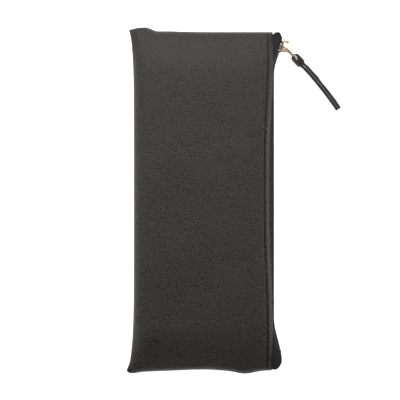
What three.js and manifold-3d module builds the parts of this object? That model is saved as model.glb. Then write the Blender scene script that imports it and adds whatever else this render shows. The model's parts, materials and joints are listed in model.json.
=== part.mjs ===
// A slim pen pouch in soft black leather, lying on its back panel with its zip closed.
// Millimetres. +X is the zip side, +Y runs along the pouch towards the closed end of the zip, +Z is up.
// The origin is the centre of the flat face that the pouch rests on.

import * as THREE from "three";
import { mergeVertices } from "three/addons/utils/BufferGeometryUtils.js";
import Module from "manifold-3d";

const wasm = await Module();
wasm.setup();

// Pouch
const pouchLength = 195;
const pouchWidth = 78.3;          // long seam to zip lip, at mid-length
const frontRise = 8;              // seam plane up to the top of the front panel
const backRise = 5;               // seam plane down to the resting face
const endHalfThickness = 2;       // of each panel's half at the sewn ends
const endTaper = 25.5;            // length over which each end thins
const edgeRoll = 11;              // width of the rounded long edge
const shoulderWidth = 10;         // width of the fall towards a zip lip
const shoulderDrop = 1.2;
const lipFlare = 2;               // extra width of the lips at the ends
const leatherThickness = 1.2;
const seamGap = 0.3;              // between the two panels' edges

// Lining
const liningThickness = 0.4;
const liningEndMargin = 7.5;      // from the pouch's end to the lining's end
const liningLipMargin = 3;        // from the zip lip to the lining's edge
const liningStep = 2;             // width over which the lining drops to pass under the tape
const liningFirstAngle = THREE.MathUtils.degToRad(34);
const layerClearance = 0.3;       // between leather, tape and lining

// Zip chain
const tapeThickness = 0.4;
const tapeTuck = 6.5;             // length of tape held under a lip
const lipOverrun = 0.5;           // how far past the lip the tape stays level
const tapeTurn = 0.9;             // from the tape's turn to the slider's inner plate
const tapeEndMargin = 1;
const tapeEdgeHeight = 0.8;       // tape edge to the seam plane
const coilHalfWidth = 1.8;
const coilThickness = 1.2;
const coilSpine = 0.5;
const coilReach = 0.35;           // how far a tooth crosses the seam plane
const coilPitch = 1.25;
const toothWidth = 0.5;
const coilToTape = 0.1;
const coilBottomMargin = 11.5;    // from the pouch's end to the lowest tooth
const stopLength = 1.8;
const stopWall = 0.45;
const stopClearance = 0.3;

// Slider
const sliderLength = 8.7;
const sliderEndMargin = 3.45;     // from the pouch's end to the slider's nose
const sliderInnerX = 43.5;        // inner face of the inner plate
const plateThickness = 0.7;
const flangeThickness = 0.45;
const chainClearance = 0.2;       // between the chain and the slider
const flangeToTape = 0.2;
const postHalfWidth = 0.4;
const postSetback = 0.5;          // from the post's ends to the nose and to the parted chain
const partedShift = 1;            // how far the post pushes each half of the chain
const partStart = 1.2;            // from the slider's tail to where the chain parts
const partLength = 3;
const capHeight = 3.2;
const capHalfWidth = 0.9;
const capWall = 0.95;
const capSeatGap = 0.1;
const springThickness = 0.25;
const springHalfWidth = 0.4;
const springHalfLength = 2.4;
const springPlay = 0.4;           // between the spring's ends and the cap
const pinWidth = 0.6;

// Pull
const wireRadius = 0.5;
const ringLength = 9;             // between the centres of its two end bars
const ringCorner = 1;
const ringBearing = 42;           // degrees from +X towards -Y
const ringDroop = 6;              // degrees below the horizontal
const ringPivotBack = 0.8;        // from the slider's middle towards its tail
const ringPlay = 0.35;            // between the wire and what it runs against
const ringSidePlay = 0.6;         // between the strap's edges and the ring's sides
const strapLength = 37.7;
const strapWidth = 4.4;
const strapThickness = 1.75;
const strapSlit = 0.3;            // between the folded strap's two tails
const strapHead = 6;              // length of the loop, from the ring's bar
const strapStartBearing = 45;
const strapEndBearing = 53;
const strapGroundGap = 0.05;

// Thread
const stitchRadius = 0.2;
const stitchInset = 3;            // from the lip to the topstitch
const stitchLift = 0.1;
const seamThreadRadius = 0.25;
const endSeamInset = 0.5;
const threadSides = 6;

// Values that follow from the ones above
const halfLength = pouchLength / 2;
const straightHalf = halfLength - endTaper;
const seamX = -pouchWidth / 2;
const seamZ = backRise;
const tapeInnerX = sliderInnerX + plateThickness + chainClearance;
const tapeOuterX = tapeInnerX + tapeThickness;
const coilInnerX = tapeOuterX + coilToTape;
const coilOuterX = coilInnerX + coilThickness;
const outerPlateX = coilOuterX + chainClearance + 0.1;
const sliderOuterX = outerPlateX + plateThickness;
const sliderNoseY = halfLength - sliderEndMargin;
const sliderTailY = sliderNoseY - sliderLength;
const sliderMiddleY = (sliderNoseY + sliderTailY) / 2;
const noseHalfWidth = coilHalfWidth + partedShift + chainClearance + flangeThickness;
const tapeLeafHeight = noseHalfWidth + layerClearance + tapeThickness / 2;
const coilBottomY = coilBottomMargin - halfLength;
const pinY = sliderMiddleY - springHalfLength + pinWidth / 2;
const capBaseX = sliderOuterX + capSeatGap;
const capTopX = capBaseX + capHeight;

const colours = {
  leather: { color: 0x2a2728, roughness: 0.55, metalness: 0 },
  lining: { color: 0x1c1b1d, roughness: 0.9, metalness: 0 },
  tape: { color: 0x141315, roughness: 0.85, metalness: 0 },
  coil: { color: 0x1b1a1c, roughness: 0.4, metalness: 0 },
  metal: { color: 0xe0bd93, roughness: 0.25, metalness: 1 },
  blackMetal: { color: 0x1d1b1c, roughness: 0.4, metalness: 0.6 },
  thread: { color: 0x18171a, roughness: 0.7, metalness: 0 },
};

const pouch = new THREE.Group();

function addPiece(name, finish, geometry) {
  const mesh = new THREE.Mesh(geometry, new THREE.MeshStandardMaterial(colours[finish]));
  mesh.name = name;
  pouch.add(mesh);
}

// ---- geometry helpers ----

function signedVolume(points, triangles) {
  let volume = 0;
  for (const [a, b, c] of triangles) {
    volume += points[a].dot(points[b].clone().cross(points[c])) / 6;
  }
  return volume;
}

function closedGeometry(points, triangles) {
  const outward = signedVolume(points, triangles) > 0;
  const index = triangles.flatMap(([a, b, c]) => (outward ? [a, b, c] : [a, c, b]));
  const geometry = new THREE.BufferGeometry().setFromPoints(points);
  geometry.setIndex(index);
  geometry.computeVertexNormals();
  return geometry;
}

// Skin over a run of rings with the same even number of points. Point i faces point (last - i) across the
// ring, so an open run is capped by a strip. A run that closes on itself has no caps.
function loft(rings, closesOnItself = false) {
  const size = rings[0].length;
  const triangles = [];
  const addQuad = (a, b, c, d) => triangles.push([a, b, c], [a, c, d]);
  const spans = closesOnItself ? rings.length : rings.length - 1;
  for (let span = 0; span < spans; span++) {
    const here = span * size;
    const next = ((span + 1) % rings.length) * size;
    for (let i = 0; i < size; i++) {
      const j = (i + 1) % size;
      addQuad(here + i, here + j, next + j, next + i);
    }
  }
  if (!closesOnItself) {
    const end = (rings.length - 1) * size;
    for (let i = 0; i < size / 2 - 1; i++) {
      addQuad(i, size - 1 - i, size - 2 - i, i + 1);
      addQuad(end + i, end + i + 1, end + size - 2 - i, end + size - 1 - i);
    }
  }
  return closedGeometry(rings.flat(), triangles);
}

// Unit miter at each point of a section line, to the right of its run, long enough to keep its thickness.
function miters(line) {
  const turnRight = ([ax, az], [bx, bz]) => new THREE.Vector2(bz - az, ax - bx).normalize();
  return line.map((point, i) => {
    const before = turnRight(line[Math.max(i - 1, 0)], line[Math.max(i, 1)]);
    const after = turnRight(line[Math.min(i, line.length - 2)], line[Math.min(i + 1, line.length - 1)]);
    const middle = before.clone().add(after).normalize();
    return middle.divideScalar(middle.dot(after));
  });
}

// Closed sheet between two depths below a section line that may change along y. A section line is a run of
// [x, height from the seam plane], and side is 1 for the front half and -1 for the back half.
function sheet(stations, lineAt, depthsAt, side) {
  const rings = stations.map((y) => {
    const line = lineAt(y);
    const normals = miters(line);
    const faceAt = (face) => line.map(([x, height], i) => {
      const depth = depthsAt(x, y)[face];
      const lowered = Math.max(height + normals[i].y * depth, seamGap / 2);
      return new THREE.Vector3(x + normals[i].x * depth, y, seamZ + side * lowered);
    });
    return [...faceAt(0), ...faceAt(1).reverse()];
  });
  return loft(rings);
}

// Round bar along a run of points, where across(i) gives two unit vectors of its cross-section.
function bar(path, radius, sides, across, closesOnItself = false) {
  const rings = path.map((centre, i) => {
    const [first, second] = across(i);
    return Array.from({ length: sides }, (_, corner) => {
      const angle = 2 * Math.PI * (corner + 0.5) / sides;
      return centre.clone()
        .addScaledVector(first, radius * Math.cos(angle))
        .addScaledVector(second, radius * Math.sin(angle));
    });
  });
  return loft(rings, closesOnItself);
}

function shapeFrom(points) {
  return new THREE.Shape(points.map(([a, b]) => new THREE.Vector2(a, b)));
}

// Plate with its outline in the y-z plane, between two values of x. Heights count from the seam plane.
function plateAcrossX(points, fromX, toX) {
  const geometry = new THREE.ExtrudeGeometry(shapeFrom(points), { depth: toX - fromX, bevelEnabled: false });
  const turn = new THREE.Matrix4().makeBasis(
    new THREE.Vector3(0, 1, 0),
    new THREE.Vector3(0, 0, 1),
    new THREE.Vector3(1, 0, 0),
  );
  return geometry.applyMatrix4(turn).translate(fromX, 0, seamZ);
}

// Block with its outline in the x-z plane, between two values of y. Heights count from the seam plane.
function blockAlongY(points, fromY, toY) {
  const geometry = new THREE.ExtrudeGeometry(shapeFrom(points), { depth: toY - fromY, bevelEnabled: false });
  return geometry.rotateX(Math.PI / 2).translate(0, toY, seamZ);
}

// Block with its outline in the x-y plane, centred on the seam plane.
function blockAcrossZ(points, halfHeight) {
  const options = { depth: 2 * halfHeight, bevelEnabled: false };
  return new THREE.ExtrudeGeometry(shapeFrom(points), options).translate(0, 0, seamZ - halfHeight);
}

function toSolid(geometry) {
  const bare = geometry.clone();
  bare.deleteAttribute("normal");
  bare.deleteAttribute("uv");
  const merged = mergeVertices(bare);
  return new wasm.Manifold(new wasm.Mesh({
    numProp: 3,
    vertProperties: new Float32Array(merged.attributes.position.array),
    triVerts: new Uint32Array(merged.index.array),
  }));
}

function fromSolid(solid) {
  const mesh = solid.getMesh();
  const geometry = new THREE.BufferGeometry();
  geometry.setAttribute("position", new THREE.BufferAttribute(mesh.vertProperties, 3));
  geometry.setIndex(new THREE.BufferAttribute(mesh.triVerts, 1));
  geometry.computeVertexNormals();
  return geometry;
}

// ---- pouch form ----

function fullness(y) {
  const into = Math.max(0, (Math.abs(y) - straightHalf) / endTaper);
  return 1 - into * into;
}

function stationsTo(limit) {
  const shares = [0, 0.2, 0.4, 0.55, 0.7, 0.8, 0.9, 1];
  const upper = [straightHalf / 2, ...shares.map((share) => straightHalf + share * (limit - straightHalf))];
  return [...upper.map((y) => -y).reverse(), 0, ...upper];
}

function lipX(y) {
  return pouchWidth / 2 + lipFlare * (1 - fullness(y));
}

function panelHeight(y, rise) {
  return endHalfThickness + (rise - endHalfThickness) * fullness(y);
}

// Height of a panel's outer face at a distance from its lip, within the shoulder
function shoulderHeight(y, rise, fromLip) {
  return panelHeight(y, rise) - shoulderDrop * fullness(y) * (1 - fromLip / shoulderWidth) ** 1.5;
}

function panelLine(y, rise, firstAngle = 0, lipMargin = 0) {
  const rollSteps = 6;
  const shoulderSteps = 3;
  const height = panelHeight(y, rise);
  const line = [];
  for (let i = 0; i <= rollSteps; i++) {
    const angle = firstAngle + (Math.PI / 2 - firstAngle) * i / rollSteps;
    const lift = (height - seamGap / 2) * Math.sin(angle);
    line.push([seamX + edgeRoll * (1 - Math.cos(angle)), seamGap / 2 + lift]);
  }
  for (let i = 0; i <= shoulderSteps; i++) {
    const fromLip = shoulderWidth + (lipMargin - shoulderWidth) * i / shoulderSteps;
    line.push([lipX(y) - fromLip, shoulderHeight(y, rise, fromLip)]);
  }
  return line;
}

function panel(rise, side) {
  return sheet(stationsTo(halfLength), (y) => panelLine(y, rise), () => [0, leatherThickness], side);
}

// The lining lies just under the leather, and just under the tape where the tape is tucked in.
function lining(rise, side) {
  const underLeather = leatherThickness + layerClearance;
  const underTape = underLeather + tapeThickness + layerClearance;
  const depthsAt = (x, y) => {
    const besideTape = lipX(y) - tapeTuck - 2 * liningStep;
    const share = THREE.MathUtils.clamp((x - besideTape) / liningStep, 0, 1);
    const depth = THREE.MathUtils.lerp(underLeather, underTape, share);
    return [depth, depth + liningThickness];
  };
  const lineAt = (y) => panelLine(y, rise, liningFirstAngle, liningLipMargin);
  return sheet(stationsTo(halfLength - liningEndMargin), lineAt, depthsAt, side);
}

// From under the lip, round the slider's edge and down its slot to the coil
function tape(rise, side) {
  const middleX = (tapeInnerX + tapeOuterX) / 2;
  const lineAt = (y) => {
    const depth = leatherThickness + layerClearance + tapeThickness / 2;
    const tucked = (fromLip) => [lipX(y) - fromLip, shoulderHeight(y, rise, fromLip) - depth];
    return [
      tucked(tapeTuck),
      tucked(tapeTuck / 2),
      tucked(-lipOverrun),
      [sliderInnerX - tapeTurn, tapeLeafHeight],
      [middleX, tapeLeafHeight],
      [middleX, tapeEdgeHeight],
    ];
  };
  const half = tapeThickness / 2;
  return sheet(stationsTo(halfLength - tapeEndMargin), lineAt, () => [-half, half], side);
}

// ---- zip chain ----

// How far each half of the chain stands off the seam plane, inside the closed slider's mouth
function parting(y) {
  const share = (y - sliderTailY - partStart) / partLength;
  return partedShift * THREE.MathUtils.clamp(share, 0, 1);
}

// One half of the coil as a comb: a spine with teeth that pass between the other half's teeth
function coil(side) {
  const firstTooth = coilBottomY + toothWidth / 2 + (side > 0 ? 0 : coilPitch / 2);
  const topY = sliderNoseY;
  const spineFoot = coilHalfWidth - coilSpine;
  const outline = [];
  const addPoint = (y, height) => outline.push([y, side * (height + parting(y))]);
  addPoint(coilBottomY, spineFoot);
  for (let y = firstTooth; y + toothWidth / 2 < topY; y += coilPitch) {
    for (const [offset, height] of [[-1, spineFoot], [-1, -coilReach], [1, -coilReach], [1, spineFoot]]) {
      if (y + offset * toothWidth / 2 > coilBottomY) {
        addPoint(y + offset * toothWidth / 2, height);
      } else {
        outline[0] = [coilBottomY, side * height];
      }
    }
  }
  addPoint(topY, spineFoot);
  addPoint(topY, coilHalfWidth);
  addPoint(sliderTailY + partStart + partLength, coilHalfWidth);
  addPoint(sliderTailY + partStart, coilHalfWidth);
  addPoint(coilBottomY, coilHalfWidth);
  return plateAcrossX(outline, coilInnerX, coilOuterX);
}

// Clip folded over one tape, just above the closed slider
function topStop(side) {
  const fromY = sliderNoseY + stopClearance;
  const low = seamGap / 2;
  const high = low + coilHalfWidth + partedShift;
  const bend = tapeEdgeHeight - chainClearance;
  const outline = [
    [tapeInnerX - chainClearance - stopWall, low],
    [coilOuterX, low],
    [coilOuterX, high],
    [tapeOuterX + chainClearance, high],
    [tapeOuterX + chainClearance, bend],
    [tapeInnerX - chainClearance, bend],
    [tapeInnerX - chainClearance, high],
    [tapeInnerX - chainClearance - stopWall, high],
  ];
  return blockAlongY(outline.map(([x, height]) => [x, side * height]), fromY, fromY + stopLength);
}

// Clip over both tapes, just below the lowest teeth: a bar on each face, joined between the tape edges
function bottomStop() {
  const web = tapeEdgeHeight - chainClearance;
  const reach = coilHalfWidth + stopWall;
  const halfOutline = [
    [tapeInnerX - chainClearance - stopWall, reach],
    [tapeInnerX - chainClearance, reach],
    [tapeInnerX - chainClearance, web],
    [tapeOuterX + chainClearance, web],
    [tapeOuterX + chainClearance, reach],
    [coilOuterX, reach],
  ];
  const outline = [...halfOutline, ...halfOutline.map(([x, height]) => [x, -height]).reverse()];
  const topY = coilBottomY - stopClearance;
  return blockAlongY(outline, topY - stopLength, topY);
}

// ---- slider ----

// Outline that follows the chain through the slider, as [y, height], standing off it by a margin
function chainOutline(margin, fromY, toY) {
  const partY = sliderTailY + partStart;
  const upper = [fromY, partY, partY + partLength, toY].map((y) => [y, coilHalfWidth + parting(y) + margin]);
  return [...upper, ...upper.map(([y, height]) => [y, -height]).reverse()];
}

function sliderBody() {
  const beyond = 1;
  const block = plateAcrossX(
    chainOutline(chainClearance + flangeThickness, sliderTailY, sliderNoseY),
    sliderInnerX,
    sliderOuterX,
  );
  const channel = plateAcrossX(
    chainOutline(chainClearance, sliderTailY - beyond, sliderNoseY + beyond),
    sliderInnerX + plateThickness,
    outerPlateX,
  );
  const slot = plateAcrossX(
    chainOutline(chainClearance + flangeThickness + beyond, sliderTailY - beyond, sliderNoseY + beyond),
    sliderInnerX + plateThickness,
    tapeOuterX + flangeToTape,
  );
  const postTip = sliderTailY + partStart + partLength + postSetback;
  const post = plateAcrossX(
    [
      [postTip, 0],
      [sliderNoseY - postSetback, -postHalfWidth],
      [sliderNoseY - postSetback, postHalfWidth],
    ],
    sliderInnerX + plateThickness / 2,
    outerPlateX + plateThickness / 2,
  );
  const pinHole = plateAcrossX(
    [[-1, -1], [1, -1], [1, 1], [-1, 1]].map(([along, across]) => [
      pinY + along * (pinWidth / 2 + ringPlay),
      across * (springHalfWidth + ringPlay),
    ]),
    outerPlateX - beyond,
    sliderOuterX + beyond,
  );
  return fromSolid(
    toSolid(block).subtract(toSolid(channel)).subtract(toSolid(slot)).add(toSolid(post)).subtract(toSolid(pinHole)),
  );
}

// Arched bridge that holds the ring against the outer plate
function sliderCap() {
  const inner = springHalfLength + springPlay;
  const half = inner + capWall;
  const outline = [
    [capBaseX, half],
    [capBaseX + 1.3, half],
    [capTopX - 0.7, half - 0.9],
    [capTopX - 0.1, half - 2.2],
    [capTopX, 0],
    [capTopX - 0.1, 2.2 - half],
    [capTopX - 0.7, 0.9 - half],
    [capBaseX + 1.3, -half],
    [capBaseX, -half],
    [capBaseX, -inner],
    [capTopX - capWall - 0.3, -inner],
    [capTopX - capWall, 0.4 - inner],
    [capTopX - capWall, inner - 0.4],
    [capTopX - capWall - 0.3, inner],
    [capBaseX, inner],
  ];
  return blockAcrossZ(outline.map(([x, y]) => [x, sliderMiddleY + y]), capHalfWidth);
}

// Leaf that presses the lock pin between the teeth, under the cap and over the ring's bar
function lockSpring() {
  const leafTopX = capTopX - capWall - layerClearance;
  const leafX = leafTopX - springThickness;
  const pinTipX = coilOuterX + chainClearance;
  const footX = sliderOuterX + 0.2;
  const outline = [
    [pinTipX, pinY - pinWidth / 2],
    [leafTopX, pinY - pinWidth / 2],
    [leafTopX, sliderMiddleY + springHalfLength],
    [footX, sliderMiddleY + springHalfLength],
    [footX, sliderMiddleY + springHalfLength - springThickness],
    [leafX, sliderMiddleY + springHalfLength - springThickness],
    [leafX, pinY + pinWidth / 2],
    [pinTipX, pinY + pinWidth / 2],
  ];
  return blockAcrossZ(outline, springHalfWidth);
}

// ---- pull ----

const bearing = THREE.MathUtils.degToRad(ringBearing);
const droop = THREE.MathUtils.degToRad(ringDroop);
const ringPivot = new THREE.Vector3(
  sliderOuterX + ringPlay + wireRadius,
  sliderMiddleY - ringPivotBack,
  seamZ,
);
const ringRun = new THREE.Vector3(
  Math.cos(droop) * Math.cos(bearing),
  -Math.cos(droop) * Math.sin(bearing),
  -Math.sin(droop),
);
const ringAcross = new THREE.Vector3(
  Math.sin(droop) * Math.cos(bearing),
  -Math.sin(droop) * Math.sin(bearing),
  Math.cos(droop),
);
const ringFarBar = ringPivot.clone().addScaledVector(ringRun, ringLength);

// Wire loop with rounded corners: one end bar under the cap, the other through the strap
function pullRing() {
  const halfSpan = strapWidth / 2 + ringSidePlay + wireRadius;
  const cornerSteps = 5;
  const corners = [
    [ringLength - ringCorner, halfSpan - ringCorner, 0],
    [ringCorner, halfSpan - ringCorner, 1],
    [ringCorner, ringCorner - halfSpan, 2],
    [ringLength - ringCorner, ringCorner - halfSpan, 3],
  ];
  const flat = corners.flatMap(([along, across, quarter]) =>
    Array.from({ length: cornerSteps + 1 }, (_, i) => {
      const angle = (quarter + i / cornerSteps) * Math.PI / 2;
      const outward = [Math.cos(angle), Math.sin(angle)];
      return { at: [along + ringCorner * outward[0], across + ringCorner * outward[1]], outward };
    }));
  const place = ([along, across]) => ringRun.clone().multiplyScalar(along).addScaledVector(ringAcross, across);
  const path = flat.map(({ at }) => place(at).add(ringPivot));
  const flatNormal = ringRun.clone().cross(ringAcross);
  return bar(path, wireRadius, 8, (i) => [place(flat[i].outward), flatNormal], true);
}

// Strap folded round the ring's far bar, its two tails side by side. Its outline is drawn from above, on a
// gently curved middle line, and the tail end is lowered to lie on the ground.
function pullStrap() {
  const steps = 10;
  const barSlack = wireRadius + ringPlay + 0.35;
  const loopHalf = wireRadius + ringPlay;
  const middle = [];
  let point = new THREE.Vector2(ringFarBar.x, ringFarBar.y);
  for (let i = 0; i <= steps; i++) {
    const turn = THREE.MathUtils.lerp(strapStartBearing, strapEndBearing, i / steps);
    const heading = THREE.MathUtils.degToRad(-turn);
    const run = new THREE.Vector2(Math.cos(heading), Math.sin(heading));
    middle.push({ point: point.clone(), run, left: new THREE.Vector2(-run.y, run.x) });
    point = point.clone().addScaledVector(run, strapLength / steps);
  }
  const slitHalf = (distance) => {
    const closed = THREE.MathUtils.clamp((distance - 0.3 * strapHead) / (0.7 * strapHead), 0, 1);
    return THREE.MathUtils.lerp(loopHalf, strapSlit / 2, closed);
  };
  const sideAt = (sign, extra) => middle.map(({ point: centre, left }, i) =>
    centre.clone().addScaledVector(left, sign * (slitHalf(strapLength * i / steps) + extra)));
  const { point: barPoint, run, left } = middle[0];
  const headArc = (radius, reach) => Array.from({ length: 7 }, (_, i) => {
    const angle = Math.PI * (i + 1) / 8;
    return barPoint.clone()
      .addScaledVector(left, -radius * Math.cos(angle))
      .addScaledVector(run, -reach * Math.sin(angle));
  });
  const outerHalf = loopHalf + strapThickness;
  const outline = [
    ...sideAt(1, strapThickness),
    ...sideAt(1, 0).reverse(),
    ...headArc(loopHalf, barSlack).reverse(),
    ...sideAt(-1, 0),
    ...sideAt(-1, strapThickness).reverse(),
    ...headArc(outerHalf, barSlack + strapThickness),
  ];
  const options = { depth: strapWidth, bevelEnabled: false };
  const geometry = new THREE.ExtrudeGeometry(new THREE.Shape(outline), options);
  const fall = ringFarBar.z - strapWidth / 2 - strapGroundGap;
  const position = geometry.attributes.position;
  for (let i = 0; i < position.count; i++) {
    const along = (position.getX(i) - barPoint.x) * run.x + (position.getY(i) - barPoint.y) * run.y;
    const lowered = fall * THREE.MathUtils.clamp(along / strapLength, 0, 1);
    position.setZ(i, position.getZ(i) + ringFarBar.z - strapWidth / 2 - lowered);
  }
  return geometry;
}

// ---- thread ----

function topstitch(rise, side) {
  const standOff = stitchRadius + stitchLift;
  const path = stationsTo(halfLength - endSeamInset - 2 * seamThreadRadius).map((y) => new THREE.Vector3(
    lipX(y) - stitchInset,
    y,
    seamZ + side * (shoulderHeight(y, rise, stitchInset) + standOff),
  ));
  const across = [new THREE.Vector3(1, 0, 0), new THREE.Vector3(0, 0, 1)];
  return bar(path, stitchRadius, threadSides, () => across);
}

// Thread inside a sewn end, between the two panels
function endSeamThread(end) {
  const y = end * (halfLength - endSeamInset);
  const fromX = seamX + edgeRoll / 3;
  const toX = lipX(y) - tapeTuck - 2;
  const path = [fromX, toX].map((x) => new THREE.Vector3(x, y, seamZ));
  const across = [new THREE.Vector3(0, 1, 0), new THREE.Vector3(0, 0, 1)];
  return bar(path, seamThreadRadius, threadSides, () => across);
}

// Thread inside the long edge, behind the two panels' edges
function longSeamThread() {
  const x = seamX + leatherThickness + layerClearance + seamThreadRadius;
  const reach = halfLength - liningEndMargin;
  const path = [-reach, 0, reach].map((y) => new THREE.Vector3(x, y, seamZ));
  const across = [new THREE.Vector3(1, 0, 0), new THREE.Vector3(0, 0, 1)];
  return bar(path, seamThreadRadius, threadSides, () => across);
}

// ---- the pouch ----

for (const [half, rise, side] of [["front", frontRise, 1], ["back", backRise, -1]]) {
  addPiece(`${half}_panel`, "leather", panel(rise, side));
  addPiece(`${half}_lining`, "lining", lining(rise, side));
  addPiece(`${half}_zip_tape`, "tape", tape(rise, side));
  addPiece(`${half}_coil`, "coil", coil(side));
  addPiece(`${half}_top_stop`, "blackMetal", topStop(side));
  addPiece(`${half}_topstitch`, "thread", topstitch(rise, side));
}
addPiece("bottom_stop", "blackMetal", bottomStop());
addPiece("slider_body", "metal", sliderBody());
addPiece("slider_cap", "metal", sliderCap());
addPiece("lock_spring", "metal", lockSpring());
addPiece("pull_ring", "metal", pullRing());
addPiece("pull_strap", "leather", pullStrap());
addPiece("top_end_seam_thread", "thread", endSeamThread(1));
addPiece("bottom_end_seam_thread", "thread", endSeamThread(-1));
addPiece("long_seam_thread", "thread", longSeamThread());

export default pouch;
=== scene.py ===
# A slim pen pouch in soft black leather with a gold zip pull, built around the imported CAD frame.
# Lengths in this script are in millimetres until a mesh is made, which turns them into metres.
import json
import math

import bmesh
import bpy
import numpy as np
from mathutils import Matrix, Vector


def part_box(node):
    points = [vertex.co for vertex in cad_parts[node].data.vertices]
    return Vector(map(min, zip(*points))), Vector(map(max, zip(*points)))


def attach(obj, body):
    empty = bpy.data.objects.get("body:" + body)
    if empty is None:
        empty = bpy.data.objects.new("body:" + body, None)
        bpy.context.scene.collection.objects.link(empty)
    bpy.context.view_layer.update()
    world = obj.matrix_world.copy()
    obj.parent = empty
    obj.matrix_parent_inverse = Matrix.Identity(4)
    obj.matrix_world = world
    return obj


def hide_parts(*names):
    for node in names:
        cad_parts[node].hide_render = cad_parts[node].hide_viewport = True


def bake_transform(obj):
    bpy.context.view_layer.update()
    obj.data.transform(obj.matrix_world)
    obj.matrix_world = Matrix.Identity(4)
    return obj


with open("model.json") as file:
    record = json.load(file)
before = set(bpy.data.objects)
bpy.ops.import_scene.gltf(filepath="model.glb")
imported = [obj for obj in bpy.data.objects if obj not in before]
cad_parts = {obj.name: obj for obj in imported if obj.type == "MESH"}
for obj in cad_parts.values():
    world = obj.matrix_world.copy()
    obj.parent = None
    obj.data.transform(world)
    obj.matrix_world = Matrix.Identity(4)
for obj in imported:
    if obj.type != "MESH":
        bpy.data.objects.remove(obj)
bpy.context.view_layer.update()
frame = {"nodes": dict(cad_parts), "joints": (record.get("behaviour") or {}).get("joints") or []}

MM = 0.001
UP = np.array([0.0, 0.0, 1.0])

# ---- places taken from the frame, in millimetres ----


def node_box(node):
    """The node's box at rest, as its lowest and its highest corner."""
    lo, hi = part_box(node)
    return np.array(lo) / MM, np.array(hi) / MM


def joint_place(name):
    """A point on the joint's axis at rest."""
    joint = next(j for j in frame["joints"] if j["name"] == name)
    return np.array(joint["pos_m"]) / MM


panel_lo, panel_hi = node_box("front_panel")
back_lo, back_hi = node_box("back_panel")
lining_hi = node_box("front_lining")[1]
tape_hi = node_box("front_zip_tape")[1]
coil_lo, coil_hi = node_box("front_coil")
slider_lo = node_box("slider_body")[0]
cap_lo, cap_hi = node_box("slider_cap")
ring_lo, ring_hi = node_box("pull_ring")

SEAM_Z = (panel_lo[2] + back_hi[2]) / 2
SEAM_X = panel_lo[0]
HALF_LENGTH = panel_hi[1]
LIP_MID = -SEAM_X                   # the lip's place at mid-length in the frame
LIP_FLARE = panel_hi[0] - LIP_MID   # how much further out it lies at the ends
FRONT_RISE = panel_hi[2] - SEAM_Z
BACK_RISE = SEAM_Z - back_lo[2]
SLIDER_TAIL = slider_lo[1]
CHAIN_X = (coil_lo[0] + coil_hi[0]) / 2
CHAIN_HALF = (coil_hi[0] - coil_lo[0]) / 2
COIL_LOW = coil_lo[1]
COIL_END = tape_hi[1] - 0.5         # the teeth stop a little short of the tape
RING_PIVOT = joint_place("pull_swing")
RING_BAR = joint_place("strap_swing")

# ---- the pouch's own proportions ----

LEATHER = 1.2           # thickness of the leather
END_HALF = 2.0          # half thickness of each panel at a sewn end
END_TAPER = 25.5        # length over which the pouch thins towards an end
END_ROLL = 2.6          # length of the turned edge at a sewn end
EDGE_ROLL = 11.0        # width of the rounded long edge
SHOULDER = 10.0         # width of the fall towards the zip lip
SHOULDER_DROP = 1.2     # depth of that fall
STITCH_INSET = 3.0      # from the lip's edge to the topstitch
STITCH_PITCH = 3.7
LIP_SET_BACK = 0.3      # how far the sewn lip is pulled back in the middle
LINING = 0.4            # thickness of the lining cloth
GAP = 0.3               # between one layer and the next
TAPE = 0.4              # thickness of the zip tape
TAPE_TUCK = 6.5         # how far the tape reaches in under the leather
COIL_PITCH = 1.25
COIL_WIRE = 0.25        # radius of the wire that makes the teeth
COIL_WIDTH = 1.8        # seam plane to the back of one row of teeth
COIL_REACH = 0.35       # how far the teeth cross the seam plane
COIL_SLANT = 0.12       # how far each loop of the wire leans along the zip
COIL_CORD = 0.36        # radius of the cord inside a row of teeth
COIL_CUT = 0.3          # where the front coil is cut in two
SEAM_GAP = 0.15         # least distance of a panel's outer face from the seam plane
SLIDER_TILT = math.radians(18)    # the slack zip leans the slider outwards
CHAIN_MID_X = 41.45               # where the sewn zip lies along the middle of the pouch
CHAIN_BEND = 0.5                  # softness of the bend from there to the leaning end


def smooth(share):
    """0 to 1 with a soft start and end."""
    share = np.clip(share, 0, 1)
    return share * share * (3 - 2 * share)


def bump_at(value, centre, width):
    """A bell of height 1."""
    return np.exp(-(((value - centre) / width) ** 2))


def fullness(y):
    """1 along the pouch, falling to 0 at the sewn ends."""
    into = np.maximum(0, (np.abs(y) - (HALF_LENGTH - END_TAPER)) / END_TAPER)
    return 1 - into * into


def lip_x(y):
    """The zip lip leans out towards both sewn ends, a little less at the lower one."""
    upper_lean = smooth((y - 24) / 64)
    lower_lean = smooth((-y - 10) / 64)
    lean = upper_lean + 0.75 * lower_lean
    return LIP_MID - LIP_SET_BACK * (1 - lean) + LIP_FLARE * lean


def rise_at(y, rise):
    """Greatest height of a panel over the seam plane at this station."""
    return END_HALF + (rise - END_HALF) * fullness(y)


def outer_height(x, y, rise):
    """Height of a panel's outer face above the seam plane, from the long seam's roll to the zip lip."""
    rise_here = rise_at(y, rise)
    roll = np.clip((x - SEAM_X) / EDGE_ROLL, 0, 1)
    height = rise_here * np.sqrt(np.maximum(1 - (1 - roll) ** 2, 0))
    from_lip = np.clip(lip_x(y) - x, 0, SHOULDER)
    return height - SHOULDER_DROP * fullness(y) * (1 - from_lip / SHOULDER) ** 1.5


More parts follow.
